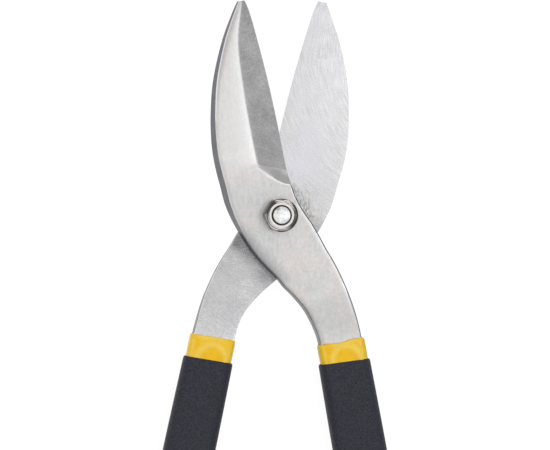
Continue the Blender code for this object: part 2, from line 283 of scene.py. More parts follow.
class Nodes:
    """Short way to write a material's node tree."""

    def __init__(self, name):
        self.mat = bpy.data.materials.new(name)
        self.mat.use_nodes = True
        self.tree = self.mat.node_tree
        self.shader = self.tree.nodes["Principled BSDF"]

    def add(self, kind, inputs=None, **settings):
        node = self.tree.nodes.new(kind)
        for key, value in settings.items():
            setattr(node, key, value)
        for key, value in (inputs or {}).items():
            self.put(node.inputs[key], value)
        return node

    def put(self, socket, value):
        if isinstance(value, bpy.types.NodeSocket):
            self.tree.links.new(value, socket)
        else:
            socket.default_value = value

    def math(self, operation, a, b=0.0, clamp=False):
        return self.add("ShaderNodeMath", {0: a, 1: b}, operation=operation, use_clamp=clamp).outputs[0]

    def chain(self, operation, values):
        """One value from several, taken two at a time."""
        result = values[0]
        for value in values[1:]:
            result = self.math(operation, result, value)
        return result

    def plus(self, a, b):
        return self.math("ADD", a, b)

    def minus(self, a, b):
        return self.math("SUBTRACT", a, b)

    def times(self, *values):
        return self.chain("MULTIPLY", values)

    def most(self, *values):
        return self.chain("MAXIMUM", values)

    def xy(self, vector):
        parts = self.add("ShaderNodeSeparateXYZ", {"Vector": vector})
        return parts.outputs["X"], parts.outputs["Y"]

    def scaled(self, value, low, high, to_low=0.0, to_high=1.0):
        inputs = {"Value": value, "From Min": low, "From Max": high, "To Min": to_low, "To Max": to_high}
        return self.add("ShaderNodeMapRange", inputs).outputs["Result"]

    def noise(self, vector, scale, detail=3.0, roughness=0.55):
        inputs = {"Vector": vector, "Scale": scale, "Detail": detail, "Roughness": roughness}
        return self.add("ShaderNodeTexNoise", inputs).outputs["Fac"]

    def stretched(self, vector, scale, turn=0.0):
        inputs = {"Vector": vector, "Scale": scale, "Rotation": (0.0, 0.0, turn)}
        return self.add("ShaderNodeMapping", inputs).outputs["Vector"]

    def mix(self, amount, a, b):
        inputs = {"Factor": amount, "A": rgba(a), "B": rgba(b)}
        return self.add("ShaderNodeMix", inputs, data_type="RGBA").outputs["Result"]

    def object_space(self):
        return self.add("ShaderNodeTexCoord").outputs["Object"]

    def bump(self, height, strength, distance, normal=None):
        node = self.add("ShaderNodeBump", {"Height": height, "Strength": strength, "Distance": distance})
        if normal is not None:
            self.put(node.inputs["Normal"], normal)
        return node.outputs["Normal"]

    def set(self, key, value):
        self.put(self.shader.inputs[key], value)

    def shown(self, colour, roughness, normal):
        """Connect the shader and hand over the material."""
        for key, value in (("Base Color", colour), ("Roughness", roughness), ("Normal", normal)):
            self.set(key, value)
        return self.mat


def rgba(value):
    """Grey or colour to four numbers; a socket stays as it is."""
    if isinstance(value, bpy.types.NodeSocket):
        return value
    if isinstance(value, float):
        value = (value, value, value)
    return (*value, 1.0)


WARM_TINT = (1.02, 0.95, 0.91)
# Colours of painted highlight and painted shade
PAINTED_HIGHLIGHT = (0.96, 0.96, 0.965)
PAINTED_SHADE = (0.20, 0.21, 0.25)


def steel(name, tone, dark, roughness, grain_mm, grain_depth, lines=None, blotch=0.5, marks_and_shadow=None, warm=0.3):
    """Bare steel: blotchy tone, fine grain, and sanding or grinding lines where given, with painted highlight
    and painted shade read from a stored value.
    """
    n = Nodes(name)
    place = n.object_space()
    cloud = n.noise(place, 150.0, 5.0, 0.65)
    cloud = n.scaled(cloud, 0.35, 0.65, 0.5 - 0.5 * blotch, 0.5 + 0.5 * blotch)
    warmth = n.scaled(n.noise(place, 70.0, 2.0, 0.5), 0.35, 0.65)
    warm_tone = tuple(t * w for t, w in zip(tone, WARM_TINT))
    colour = n.mix(n.times(warmth, warm), n.mix(cloud, dark, tone), warm_tone)
    grain = n.noise(place, 1.0 / (grain_mm * MM), 2.0, 0.7)
    rough = n.scaled(grain, 0.3, 0.7, roughness - 0.05, roughness + 0.07)
    normal = n.bump(grain, 1.0, grain_depth * MM)
    if lines:
        streaks, depth, contrast = lines(n, place)
        normal = n.bump(streaks, 1.0, depth * MM, normal)
        shade = n.scaled(streaks, 0.3, 0.7, 1.0 - contrast, 1.0 + contrast)
        colour = n.add("ShaderNodeVectorMath", {0: colour, 1: shade}, operation="MULTIPLY").outputs[0]
    # Extra marks on the surface, with the painted shadow some of them carry
    if marks_and_shadow:
        colour = marks_and_shadow(n, place, colour)
    # Painted highlight where the stored value is above 0, painted shade where it is below 0; the highlight
    # also lowers the roughness
    painted_light = n.add("ShaderNodeAttribute", attribute_name="painted_light").outputs["Fac"]
    colour = n.mix(painted_light, colour, PAINTED_HIGHLIGHT)
    colour = n.mix(n.math("MULTIPLY", painted_light, -1.0, clamp=True), colour, PAINTED_SHADE)
    n.set("Metallic", 1.0)
    return n.shown(colour, n.minus(rough, n.times(painted_light, 0.1)), normal)


def away_from(n, place, x_mm, y_mm):
    """Place as measured from a point of the plan."""
    centre = (x_mm * MM, y_mm * MM, 0.0)
    return n.add("ShaderNodeVectorMath", {0: place, 1: centre}, operation="SUBTRACT").outputs[0]


def axis_radius(n, place):
    """Distance from the pivot axis."""
    x, y = n.xy(place)
    return n.math("POWER", n.plus(n.math("POWER", x, 2.0), n.math("POWER", y, 2.0)), 0.5)


def axis_angle(n, place):
    """Direction about the pivot axis."""
    x, y = n.xy(place)
    return n.math("ARCTAN2", y, x)


def spot(n, place, x_mm, y_mm, reach_mm):
    """1 at a point of the plan, fading to 0 at its reach."""
    return n.scaled(axis_radius(n, away_from(n, place, x_mm, y_mm)), reach_mm * MM, 0.0)


def drawn_out(n, place, scale, turn, low, high, roughness=0.7, detail=4.0):
    """Marks that run one way: 0 where their noise is low, 1 where it is high."""
    return n.scaled(n.noise(n.stretched(place, scale, turn), 1.0, detail, roughness), low, high)


def wheel_marks(n, place, x_mm, y_mm, fineness, length):
    """Thin arcs about a far centre, as a large grinding wheel leaves them."""
    away = away_from(n, place, x_mm, y_mm)
    across = n.times(axis_radius(n, away), fineness)
    along = n.times(axis_angle(n, away), length)
    wheel = n.add("ShaderNodeCombineXYZ", {"X": across, "Y": along}).outputs[0]
    return n.noise(wheel, 1.0, 4.0, 0.75)


def grinding_arcs(n, place):
    """Two crossing passes of the grinding wheel."""
    first = wheel_marks(n, place, 60.0, 66.0, 1700.0, 5.0)
    second = wheel_marks(n, place, 90.0, 76.0, 2300.0, 9.0)
    patches = n.scaled(n.noise(place, 130.0, 2.0, 0.5), 0.42, 0.58)
    return n.mix(patches, first, second), 0.006, 0.28


def long_sanding(n, place):
    """Faint sanding marks along the blade."""
    streaks = n.noise(n.stretched(place, (900.0, 260.0, 400.0), HALF_OPENING), 1.0, 4.0, 0.7)
    mottle = n.noise(place, 750.0, 4.0, 0.75)
    return n.times(n.plus(streaks, mottle), 0.5), 0.002, 0.16


def cross_sanding(n, place):
    """Belt marks across the wall."""
    return n.noise(n.stretched(place, (300.0, 1600.0, 300.0)), 1.0, 3.0, 0.6), 0.004, 0.10


def blasting(n, place):
    """Coarse matt speckle left by shot blasting."""
    return n.noise(place, 1500.0, 3.0, 0.8), 0.02, 0.26


# Direction square to the other boss's edge, where that crosses the handle; the painted shadow strip runs
# beside it
CONTACT_SIDE = (-0.736, -0.677)


def rub_marks_and_shadow(n, place, colour):
    """Scuffs, scratches, pits and rust where the other boss sweeps over the inner face, a darker handle, and
    painted shadow beside the other boss's edge.
    """
    x, y = n.xy(place)
    radius = axis_radius(n, place)
    handle = n.scaled(y, 0.0, -0.012)
    dull = n.most(n.times(handle, n.scaled(y, -0.055, -0.020, 0.15, 0.95)),
                  n.scaled(radius, 0.062, 0.024, 0.0, 0.5), n.scaled(x, 0.024, 0.004, 0.0, 0.32))
    colour = n.mix(dull, colour, (0.47, 0.47, 0.475))

    scratches = drawn_out(n, place, (260.0, 2100.0, 300.0), -0.5, 0.50, 0.66, 0.75)
    centre_highlight = n.scaled(n.noise(place, 170.0, 3.0, 0.6), 0.44, 0.60)
    centre_highlight = n.plus(centre_highlight, spot(n, place, -10.0, -29.0, 10.0))
    colour = n.mix(n.times(scratches, centre_highlight, handle, 0.6), colour, (0.80, 0.79, 0.795))

    cool = n.times(n.scaled(y, 0.0, 0.02), n.scaled(n.noise(place, 60.0, 2.0, 0.5), 0.40, 0.62),
                   n.scaled(x, 0.030, 0.010), 0.6)
    colour = n.mix(cool, colour, (0.66, 0.665, 0.72))

    pits = n.scaled(n.noise(place, 800.0, 4.0, 0.75), 0.42, 0.66)
    colour = n.mix(n.times(pits, handle, 0.4), colour, (0.36, 0.36, 0.365))

    patch = n.times(drawn_out(n, place, (1000.0, 260.0, 300.0), 0.66, 0.46, 0.62),
                    n.scaled(n.noise(place, 240.0, 2.0, 0.6), 0.36, 0.56))
    scuffs = n.times(n.scaled(radius, 0.021, 0.013), patch, 0.8)
    marks = n.times(drawn_out(n, place, (300.0, 1000.0, 300.0), 0.66, 0.46, 0.62),
                    n.scaled(spot(n, place, 13.0, -2.5, 5.5), 0.0, 0.5), 0.75)
    rust = n.mix(n.scaled(y, -0.001, 0.006), (0.33, 0.25, 0.19), (0.34, 0.32, 0.30))
    colour = n.mix(n.most(scuffs, marks), colour, rust)

    hatch = drawn_out(n, place, (3000.0, 700.0, 300.0), 0.7, 0.48, 0.56, 0.6, 3.0)
    band = n.times(n.scaled(radius, 0.0150, 0.0125), n.scaled(y, -0.004, 0.0))
    colour = n.mix(n.times(hatch, band, 0.8), colour, (0.20, 0.19, 0.17))

    # Painted shadow on the inner face beside the other half's edge and under the crossing, made streaky
    beside = n.plus(n.times(x, CONTACT_SIDE[0]), n.times(y, CONTACT_SIDE[1]))
    strip = n.times(n.scaled(beside, 0.0219, 0.0196, 0.0, 0.95), n.scaled(beside, 0.0169, 0.0189),
                    n.scaled(y, -0.014, -0.018))
    painted_contact_shadow = n.most(n.times(n.scaled(radius, 0.0255, 0.0195), handle),
                   n.scaled(spot(n, place, -16.0, -11.5, 5.5), 0.0, 0.6),
                   n.scaled(spot(n, place, -4.5, -24.5, 7.5), 0.0, 0.8, 0.0, 0.75), strip)
    uneven = n.scaled(drawn_out(n, place, (500.0, 1500.0, 300.0), 0.8, 0.3, 0.7), 0.0, 1.0, 0.5, 1.0)
    return n.mix(n.times(painted_contact_shadow, uneven), colour, (0.14, 0.14, 0.145))


def black_vinyl():
    """Finely pebbled matt sleeve."""
    n = Nodes("black_textured_vinyl")
    place = n.object_space()
    pebbles = n.noise(place, 2300.0, 3.0, 0.7)
    specks = n.scaled(n.noise(place, 1500.0, 2.0, 0.6), 0.35, 0.65)
    colour = n.mix(specks, (0.011, 0.012, 0.020), (0.034, 0.035, 0.052))
    n.set("Specular IOR Level", 0.4)
    return n.shown(colour, n.scaled(pebbles, 0.3, 0.7, 0.55, 0.75), n.bump(pebbles, 0.8, 0.06 * MM))


def yellow_vinyl():
    """Glossy soft sleeve, with painted highlights around the raised arch and along its sides, rim and foot,
    and painted shade at its outer edges.
    """
    n = Nodes("yellow_glossy_vinyl")
    place = n.object_space()
    cloud = n.scaled(n.noise(place, 260.0, 3.0, 0.5), 0.35, 0.65)
    painted_sheen = n.add("ShaderNodeAttribute", attribute_name="painted_sheen").outputs["Fac"]
    # Painted highlight where the stored value is above 0, painted shade where it is below 0
    pale = n.math("MULTIPLY", painted_sheen, n.scaled(cloud, 0.0, 1.0, 0.8, 1.0), clamp=True)
    shaded = n.math("MULTIPLY", painted_sheen, -0.5, clamp=True)
    colour = n.mix(cloud, (0.93, 0.53, 0.0), (0.99, 0.59, 0.0))
    colour = n.mix(pale, colour, (1.0, 0.72, 0.12))
    colour = n.mix(shaded, colour, (0.50, 0.36, 0.0))
    n.set("Subsurface Weight", 0.2)
    n.set("Subsurface Radius", (0.002, 0.001, 0.0003))
    n.set("Specular IOR Level", 0.3)
    ripple = n.noise(place, 330.0, 2.0, 0.5)
    return n.shown(colour, n.scaled(cloud, 0.0, 1.0, 0.24, 0.32), n.bump(ripple, 0.35, 0.15 * MM))


def natural_nylon():
    """Cream locking ring."""
    n = Nodes("natural_nylon")
    cloud = n.scaled(n.noise(n.object_space(), 900.0, 3.0), 0.3, 0.7)
    colour = n.mix(cloud, (0.88, 0.84, 0.79), (0.95, 0.93, 0.90))
    n.set("Subsurface Weight", 0.2)
    n.set("Subsurface Radius", (0.001, 0.001, 0.001))
    return n.shown(colour, n.scaled(cloud, 0.0, 1.0, 0.35, 0.5), n.bump(cloud, 0.3, 0.03 * MM))


def painted_turned_reflections(n, place):
    """Painted highlights and painted shade in sectors about the pivot, standing in for the reflections of a
    turned face: darkest to the right.
    """
    angle = axis_angle(n, place)
    doubled = n.times(n.minus(angle, math.radians(74.0)), 2.0)
    waves = n.minus(n.math("COSINE", doubled), n.times(n.math("COSINE", angle), 0.3))
    # A narrow darker notch towards the upper left
    notch = n.math("COSINE", n.minus(angle, math.radians(127.0)))
    notch = n.math("POWER", n.most(notch, 0.0), 30.0)
    return n.scaled(n.minus(waves, n.times(notch, 1.2)), -0.75, 0.55, 0.03, 1.0)


def nickel(name, dark, bright, rough, painted_sectors=False, grain=500.0):
    """Plated hardware with faint smudges, and painted light: highlight and shade in sectors on the nut,
    elsewhere a brighter middle about the axis.
    """
    n = Nodes(name)
    place = n.object_space()
    smudge = n.scaled(n.noise(place, grain, 4.0, 0.65), 0.32, 0.68)
    if painted_sectors:
        # Painted shade also darkens the nut's outer rim
        shade = n.times(painted_turned_reflections(n, place), n.scaled(smudge, 0.0, 1.0, 0.55, 1.0),
                        n.scaled(axis_radius(n, place), 0.0064, 0.0069, 1.0, 0.35))
    else:
        # Painted highlight: brighter in the middle about the axis, darker towards the rim
        centre_highlight = n.minus(1.0, n.times(axis_radius(n, place), 170.0))
        shade = n.math("ADD", n.times(smudge, 0.65), n.times(centre_highlight, 0.6), clamp=True)
        dent = n.math("MULTIPLY", spot(n, place, -1.75, 2.6, 1.3), 1.1, clamp=True)
        shade = n.minus(shade, dent)
    n.set("Metallic", 1.0)
    return n.shown(n.mix(shade, dark, bright), n.scaled(smudge, 0.0, 1.0, rough, rough + 0.1),
                   n.bump(smudge, 0.25, 0.02 * MM))


def build_materials():
    """All materials, by name."""
    return {
        "face": steel("satin_outer_face", (0.62, 0.62, 0.62), (0.56, 0.56, 0.56), 0.34, 0.3, 0.003,
                      long_sanding, 0.7, warm=0.75),
        "ground": steel("ground_inner_face", (0.74, 0.74, 0.755), (0.64, 0.64, 0.655), 0.28, 0.3, 0.002,
                        grinding_arcs, 0.6, rub_marks_and_shadow),
        # Bright base: painted highlight on rounded corners
        "corner": steel("corner_painted_highlight", (0.80, 0.81, 0.83), (0.72, 0.73, 0.75), 0.20, 0.4, 0.002,
                        None, 0.6),
        # Dark base: painted shade on the side walls
        "wall": steel("dark_wall_painted_shade", (0.165, 0.17, 0.19), (0.12, 0.125, 0.14), 0.42, 0.3, 0.008,
                      cross_sanding, 0.8),
        "bevel": steel("blasted_bevel", (0.445, 0.447, 0.455), (0.33, 0.332, 0.338), 0.48, 0.4, 0.03,
                       blasting, 0.9),
        # Brighter base: partly painted highlight on the run-out
        "runout": steel("ground_runout", (0.78, 0.78, 0.79), (0.68, 0.68, 0.69), 0.36, 0.3, 0.004,
                        cross_sanding, 0.6),
        "grip": black_vinyl(),
        "yellow": yellow_vinyl(),
        "nylon": natural_nylon(),
        "nickel": nickel("bright_nickel", (0.42, 0.385, 0.37), (0.90, 0.92, 0.92), 0.28, grain=700.0),
        "nut": nickel("chamfered_nut", (0.09, 0.08, 0.075), (0.97, 0.93, 0.89), 0.18, painted_sectors=True),
        # Near-black metal: painted shade on the thread inside the nut and the nut's sides, dark oxide with
        # painted shade on the washer
        "dark": nickel("dark_metal_and_shade", (0.05, 0.045, 0.04), (0.09, 0.08, 0.07), 0.30),
    }


# Forged half

FACE, GROUND, WALL, BEVEL, RUNOUT, CORNER = range(6)
FORGING_MATERIALS = ("face", "ground", "wall", "bevel", "runout", "corner")
STRIP_COLUMNS = (0.0, 0.03, 0.06, 0.10, 0.16, 0.26, 0.38, 0.5, 0.62, 0.74, 0.84, 0.91, 0.95, 0.975, 1.0)
BEVEL_COLUMNS = (0.02, 0.045, 0.08, 0.13, 0.22, 0.33, 0.45, 0.57, 0.69, 0.8, 0.88, 0.94, 0.975, 1.0)
CORNER_STEPS = 4
TOP_CORNER_STEPS = 6
BOTTOM_COLUMNS = 8
WALL_COLUMNS = 3


def rim_point(v):
    """Point on the curved rim where the bevel's run-out meets the boss."""
    return curve(*RIM_CURVE, v)


def edges_at(s):
    """Spine-side and edge-side points of the outline at station s."""
    spine = point_on([row[0] for row in STATIONS], s)
    edge = point_on([row[1] for row in STATIONS], s, corners=(RIM,))
    return spine, edge


def crease_line():
    """Ridge between the strip and the bevel, then the rim, as one line from the tip to the boss's corner."""
    stations = [RECESS_END * i / 60 for i in range(61)]
    ridge = [between(*edges_at(s), value_at(2, s)) for s in stations]
    return ridge + [rim_point(i / 30) for i in range(31)]


CREASE = crease_line()


def crease_distance(point):
    """Shortest distance in plan from a point to the crease."""
    best = min(range(len(CREASE)), key=lambda i: math.dist(point, CREASE[i]))
    shortest = math.dist(point, CREASE[best])
    for i in (best - 1, best):
        if 0 <= i < len(CREASE) - 1:
            a, b = CREASE[i], CREASE[i + 1]
            length = math.dist(a, b)
            if length > 0.0:
                t = ((point[0] - a[0]) * (b[0] - a[0]) + (point[1] - a[1]) * (b[1] - a[1])) / length ** 2
                shortest = min(shortest, math.dist(point, between(a, b, min(1.0, max(0.0, t)))))
    return shortest


def soft_min(a, b, blend):
    """Lower of two heights, with a rounded edge between them."""
    overlap = max(blend - abs(a - b), 0.0) / blend
    return min(a, b) - overlap * overlap * blend * 0.25


def outer_surface(s, across, spine, edge):
    """Plan point and height of the outer face, at a part of the way across station s."""
    ridge = value_at(2, s)
    v = (across - ridge) / (1.0 - ridge)
    flat = between(spine, edge, across)
    pull = max(0.0, 1.0 - abs(s - RIM))
    rim_row = edges_at(RIM)
    inside = min(1.0, max(0.0, v))
    shift = tuple(p - q for p, q in zip(rim_point(inside), between(*rim_row, ridge + (1.0 - ridge) * inside)))
    fade = pull if v >= 0.0 else pull * smooth(across / ridge)
    point = tuple(p + d * fade for p, d in zip(flat, shift))
    top = value_at(3, s)
    if s > RIM + 2.0:
        return point, top, v
    if v >= 0.0 and s <= RIM:
        land = STATIONS[RECESS_END][4] if s > RECESS_END else value_at(4, s)
        hollow = 0.12 * 4.0 * inside * (1.0 - inside)
        along = max(0.0, s - RECESS_END)
        climb = between(along, 0.4 * along + 0.6 * along ** 2, ramp(inside, 0.35, 0.9))
        cut = between(between(top, land, v) - hollow, top, climb)
    else:
        cut = top + 0.35 * crease_distance(point)
    blend = between(0.9, 0.55, ramp(s, 5.0, 6.2))
    return point, soft_min(top, cut, blend), v


def finished_edges(s, turned_over):
    """Outline points at station s, with the small strays of each hand-finished half."""
    spine, edge = edges_at(s)
    boss = ramp(s, 7.0, 7.8) * fall(s, 9.5, 10.5)
    bend = ramp(s, 10.6, 11.4)
    spine_stray = -0.38 * boss
    edge_stray = 0.35 * boss * ramp(s, 8.3, 9.0)
    tip = 0.0
    if turned_over:
        spine_stray += 0.42 * bend * fall(s, 13.5, 14.3) - 0.3 * fall(s, 5.0, 7.0)
        edge_stray += REAR_SPREAD * ramp(s, 12.5, 14.0)
        tip = 0.5 * fall(s, 0.0, 1.5)
    else:
        spine_stray -= 0.85 * bend * fall(s, 12.9, 14.7)
    return (spine[0] + spine_stray, spine[1] + tip), (edge[0] + edge_stray, edge[1] + tip)


def strip_painted_shade(s, inset):
    """How much darker the strip is along the spine: a band of painted shade beside its corner."""
    depth = between(0.55, 0.22, ramp(s, 2.6, 5.0)) * fall(s, 8.5, 9.5)
    return -depth * bell((inset - 0.6) / between(1.6, 0.6, ramp(s, 1.8, 3.6)))


def half_ring(s, turned_over):
    """World points, material slots and painted light (highlight and shade) around one station."""
    spine, edge = finished_edges(s, turned_over)
    width = math.dist(spine, edge)
    top = value_at(3, s)
    ridge = value_at(2, s)
    handle = ramp(s, 9.0, 12.5)
    bare = fall(s, 12.0, 14.0)
    heel = ramp(s, 8.3, 9.3)
    slim = ramp(s, 10.4, 11.6)
    draft = between(SPINE_DRAFT, HANDLE_DRAFT, ramp(s, RIM, RIM + 3.0)) * top * bare
    edge_draft = 0.0 if s < RIM else HANDLE_DRAFT * top * ramp(s, RIM, RIM + 0.6) * bare
    top_round = between(0.45, 0.7, heel)
    under_round = between(0.15, 0.6, handle)
    edge_round = between(0.7, 0.8, handle) if s >= RIM else 0.12
    under_edge_round = under_round if s >= RIM else 0.05
    edge_top = outer_surface(s, 1.0 - edge_draft / width, spine, edge)[1]
    crown = 0.22 * fall(s, 4.0, 7.0)
    shoulder = between(1.6, 0.9, slim) * heel
    reach = between(6.0, 3.0, slim)
    # Painted shade: a soft dark band along the spine side of the boss and handle, this deep and reach wide
    shade = between(0.55, 0.30, slim) * heel
    # Painted shade on the edge-side wall where the halves cross
    crossing_shade = ramp(s, 9.0, 9.6) * fall(s, 11.0, 12.0)
    first = (draft + top_round) / width
    last = 1.0 - (edge_draft + edge_round) / width

    surface = []
    crossings = [between(first, ridge, c) for c in STRIP_COLUMNS]
    crossings += [between(ridge, last, c) for c in BEVEL_COLUMNS]
    for across in crossings:
        point, z, v = outer_surface(s, across, spine, edge)
        if v < 0.0:
            z -= crown * (1.0 - (across - first) / (ridge - first)) ** 2
        z -= shoulder * max(0.0, 1.0 - across * width / reach) ** 2
        surface.append((point, z, v))
    low_left, low_right = (0.0, 0.0), (width, 0.0)
    high_left = (draft, top - crown - shoulder * (1.0 - draft / reach) ** 2)
    high_right = (width - edge_draft, edge_top)
    left_top = (first * width, surface[0][1])
    right_top = (last * width, surface[-1][1])
    wall_steps = [0.2 + 0.6 * i / WALL_COLUMNS for i in range(WALL_COLUMNS + 1)]
    floor_steps = [0.08 + 0.84 * i / BOTTOM_COLUMNS for i in range(BOTTOM_COLUMNS + 1)]

    profile = []

    def add(points, slot, last_slot=None, painted_light=0.0):
        for distance, z in points:
            profile.append((between(spine, edge, distance / width), z, slot, painted_light))
        if last_slot is not None:
            profile[-1] = (*profile[-1][:2], last_slot, 0.0)

    inner_slot = GROUND if s < RIM else WALL
    corner = round_corner(low_right, low_left, high_left, under_round, CORNER_STEPS)
    add(corner[:3], GROUND)
    # Painted highlight on the handle's rounded lower spine corner
    add(corner[3:], WALL, painted_light=0.25 * handle)
    add([between(low_left, high_left, t) for t in wall_steps], WALL)
    beyond = between(high_left, left_top, 3.0)
    corner = round_corner(low_left, high_left, beyond, top_round, TOP_CORNER_STEPS)
    add(corner[:2], WALL)
    # Rounded top spine corner: bright corner material near the tip as painted highlight, painted shade on the
    # boss and handle
    add(corner[2:], CORNER if s < TIP_CORNER_END else FACE, FACE, painted_light=-shade)
    for index, (point, z, v) in enumerate(surface):
        slot = FACE
        if v >= 0.0 and s < RECESS_END:
            slot = BEVEL
        if v >= 0.0 and RECESS_END <= s < RIM:
            slot = RUNOUT
        # Bright corner material on the last column: painted highlight along the boss's edge
        if index == len(surface) - 1 and RIM <= s < BARE_CORNER_END:
            slot = CORNER
        painted_light = painted_ridge_highlight(s, point, v, ridge)
        # Painted highlight on the run-out
        if slot == RUNOUT:
            painted_light = max(painted_light, 0.65 * fall(v, 0.3, 1.1) * ramp(s, 6.0, 6.4))
        if v < 0.0:
            painted_light += strip_painted_shade(s, math.dist(point, surface[0][0]))
        # Painted highlight on the strip's spine column near the tip, painted shade beyond
        if index == 0:
            painted_light = between(0.45, -0.1, ramp(s, 3.2, 4.8))
        away_left = math.dist(point, spine)
        away_right = math.dist(point, edge) - edge_round
        # Painted shade on the spine side of the boss
        painted_light -= 0.05 * ramp(s, 6.6, 7.6) * fall(s, 9.0, 10.0) * fall(away_left, 14.0, 20.0)
        if s > RIM + 1.0:
            # Painted shade along the spine side, painted highlight along the edge-side corner of the boss
            painted_light -= shade * max(0.0, 1.0 - away_left / reach)
            painted_light += 0.9 * bell(away_right / 0.9) * fall(s, 12.5, 14.0)
        profile.append((point, z, slot, painted_light))
    beyond = between(high_right, right_top, 3.0)
    corner = round_corner(beyond, high_right, low_right, edge_round, TOP_CORNER_STEPS)
    if s < RIM:
        add(corner, GROUND)
    else:
        # Edge-side top corner: bright corner material as painted highlight on the boss, a little painted
        # highlight on the handle
        add(corner[:2], CORNER if s < BARE_CORNER_END else FACE, WALL)
        add(corner[2:], WALL, painted_light=0.16 * handle)
    # Painted shade on the edge-side wall and its lower corner where the halves cross
    add([between(high_right, low_right, t) for t in wall_steps], inner_slot, painted_light=-0.5 * crossing_shade)
    corner = round_corner(high_right, low_right, low_left, under_edge_round, CORNER_STEPS)
    # Painted highlight on the handle's lower edge-side corner
    add(corner[:3], inner_slot, painted_light=0.30 * handle - 0.8 * crossing_shade)
    add(corner[3:], CORNER, GROUND)
    add([between(low_right, low_left, t) for t in floor_steps], GROUND)

    lift = 0.5 * SHEAR_GAP - drop_at(s)
    ring = [to_world((x, y, z + lift), turned_over) for (x, y), z, _, _ in profile]
    return ring, [entry[2] for entry in profile], [entry[3] for entry in profile]


def painted_ridge_highlight(s, point, v, ridge):
    """Painted highlight: most on the ridge and the rim, fading across the strip."""
    if s > RIM + 1.0:
        return 0.0
    width = between(1.7, 0.8, ramp(s, 0.5, 3.5)) if v < 0.0 else 0.4
    width = between(width, 0.45, ramp(s, 5.6, 6.2))
    glow = 0.62 * bell(crease_distance(point) / width)
    if v < 0.0:
        across = 1.0 + v * (1.0 - ridge) / ridge
        glow = max(glow, (0.26 + 0.36 * across ** 3) * fall(s, 5.5, 8.0))
    return glow


def station_rows():
    """Stations of the rows: close at the recess's end, wide where sleeves hide the tang."""
    rows = []
    for index in range(TANG_END):
        mid_length = math.dist(between(*edges_at(index), 0.5), between(*edges_at(index + 1), 0.5))
        pitch = ROW_PITCH
        if index in (RECESS_END, RIM):
            pitch = RIM_ROW_PITCH
        if index >= HIDDEN_FROM:
            pitch = HIDDEN_ROW_PITCH
        steps = max(2, round(mid_length / pitch))
        rows += [index + step / steps for step in range(steps)]
    return rows + [float(TANG_END)]


def cut_bore(piece, outline, turned_over):
    """Cut the bolt's hole through the boss and keep the result as plain mesh."""
    rings = [[to_world((x, y, z), turned_over) for x, y in outline] for z in (-10.0, 10.0)]
    cutter_mesh = mesh_from_rings("bore_cutter", rings, materials=piece.data.materials)
    for polygon in cutter_mesh.polygons:
        polygon.material_index = WALL
    cutter = linked("bore_cutter", cutter_mesh)
    cut = piece.modifiers.new("bore", "BOOLEAN")
    cut.operation = "DIFFERENCE"
    cut.object = cutter
    bpy.context.view_layer.update()
    seen = piece.evaluated_get(bpy.context.evaluated_depsgraph_get())
    bored = bpy.data.meshes.new_from_object(seen)
    piece.modifiers.clear()
    piece.data = bored
    bpy.data.objects.remove(cutter, do_unlink=True)


def place_key(point):
    """Position rounded so that the same point is found again."""
    return tuple(round(c / (0.001 * MM)) for c in point)


def store_painted_light(mesh, rings, painted_light):
    """Store the painted light of each point of the rings (highlight above 0, shade below 0), for the
    materials to read.
    """
    known = {}
    for ring, values in zip(rings, painted_light):
        known.update({place_key(point): value for point, value in zip(ring, values)})
    layer = mesh.attributes.new("painted_light", "FLOAT", "POINT")
    for vertex, item in zip(mesh.vertices, layer.data):
        item.value = known.get(place_key(vertex.co), 0.0)


def build_half(side, turned_over, bore, mats):
    """One forging with its fine surface."""
    rings, slots, painted_light = zip(*(half_ring(s, turned_over) for s in station_rows()))
    materials = [mats[name] for name in FORGING_MATERIALS]
    mesh = mesh_from_rings(side + "_forging", rings, materials=materials, slots=slots)
    piece = linked(side + "_forging", mesh)
    cut_bore(piece, bore, turned_over)
    store_painted_light(piece.data, rings, painted_light)
    piece.data.set_sharp_from_angle(angle=math.radians(28.0))
    piece.modifiers.new("even_normals", "WEIGHTED_NORMAL").keep_sharp = True
    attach(piece, side + "_half")
    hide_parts(side + "_blade_half")


# Hardware on the pivot

TURNED_SIDES = 96
BORE_SIDES = 64
FRONT_BORE_RADIUS = 4.06
REAR_BORE_HALF, REAR_BORE_CORNER = 4.15, 5.35
WASHER_SHIFT = 0.8


def polar(radius, angle):
    """Point at a distance and direction from the pivot."""
    return radius * math.cos(angle), radius * math.sin(angle)


def angles(sides):
    """Directions of the corners of an outline about the pivot."""
    return [FULL_TURN * i / sides for i in range(sides)]


def circle(radius, sides):
    """Points of a circle about the pivot."""
    return [polar(radius, angle) for angle in angles(sides)]


def square(half_width, corner_radius, sides):
    """Points of a square with its corners turned off."""
    points = []
    for angle in angles(sides):
        reach = half_width / max(abs(math.cos(angle)), abs(math.sin(angle)))
        points.append(polar(min(reach, corner_radius), angle))
    return points


def on_axis(outline, z, turn=0.0):
    """Outline in millimetres about the pivot to world points at height z millimetres."""
    return [Vector((*turned(x, y, turn), z)) * MM for x, y in outline]


def rounds(pairs, sides=TURNED_SIDES):
    """Circles about the pivot axis, from (radius, height) pairs in millimetres."""
    return [on_axis(circle(r, sides), z) for r, z in pairs]


def add_hardware(node, rings, materials, dark_rows=(), closed_tube=True, sharp_deg=35.0):
    """Piece on the pivot that stands for a CAD node; its dark rows show the second material, near-black metal
    for painted shade.
    """
    slots = [[1 if row in dark_rows else 0] * len(rings[0]) for row in range(len(rings))]
    mesh = mesh_from_rings(node + "_fine", rings, closed_tube, materials, slots)
    add_piece(node + "_fine", mesh, "rear_half", node, sharp_deg)


def arc_profile(centre, radius, start_deg, end_deg, steps):
    """Arc of (radius, height) pairs."""
    points = []
    for step in range(steps + 1):
        x, y = polar(radius, math.radians(between(start_deg, end_deg, step / steps)))
        points.append((centre[0] + x, centre[1] + y))
    return points


